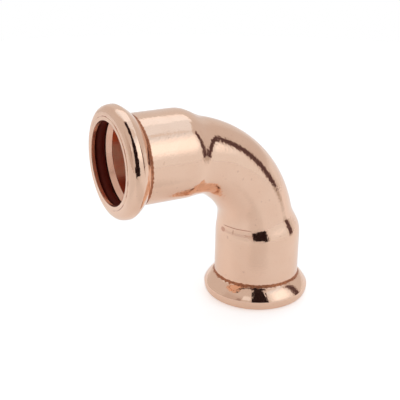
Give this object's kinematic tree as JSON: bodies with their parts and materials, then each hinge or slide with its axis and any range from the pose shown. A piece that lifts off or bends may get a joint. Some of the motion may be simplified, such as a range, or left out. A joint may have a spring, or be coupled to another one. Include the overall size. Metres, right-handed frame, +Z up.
{
  "type": "press fit elbow",
  "caption": "Ninety degree copper press elbow: a bent tube with an expanded socket, a seal bead and a rubber seal ring at each end, joining pipes at a right angle.",
  "frame": {"origin": "centre of the lower mouth, in the plane of its cut edge", "axes": "+Z up the lower socket's axis into the fitting, -X out of the upper socket's mouth along its axis, +Y square to both"},
  "size_m": [0.0781, 0.0384, 0.0781],
  "materials": {
    "copper": "bright polished copper",
    "seal_rubber": "smooth black rubber"
  },
  "bodies": {
    "root": {"elbow_body": "copper", "seal_lower": "seal_rubber", "seal_upper": "seal_rubber"}
  },
  "joints": []
}
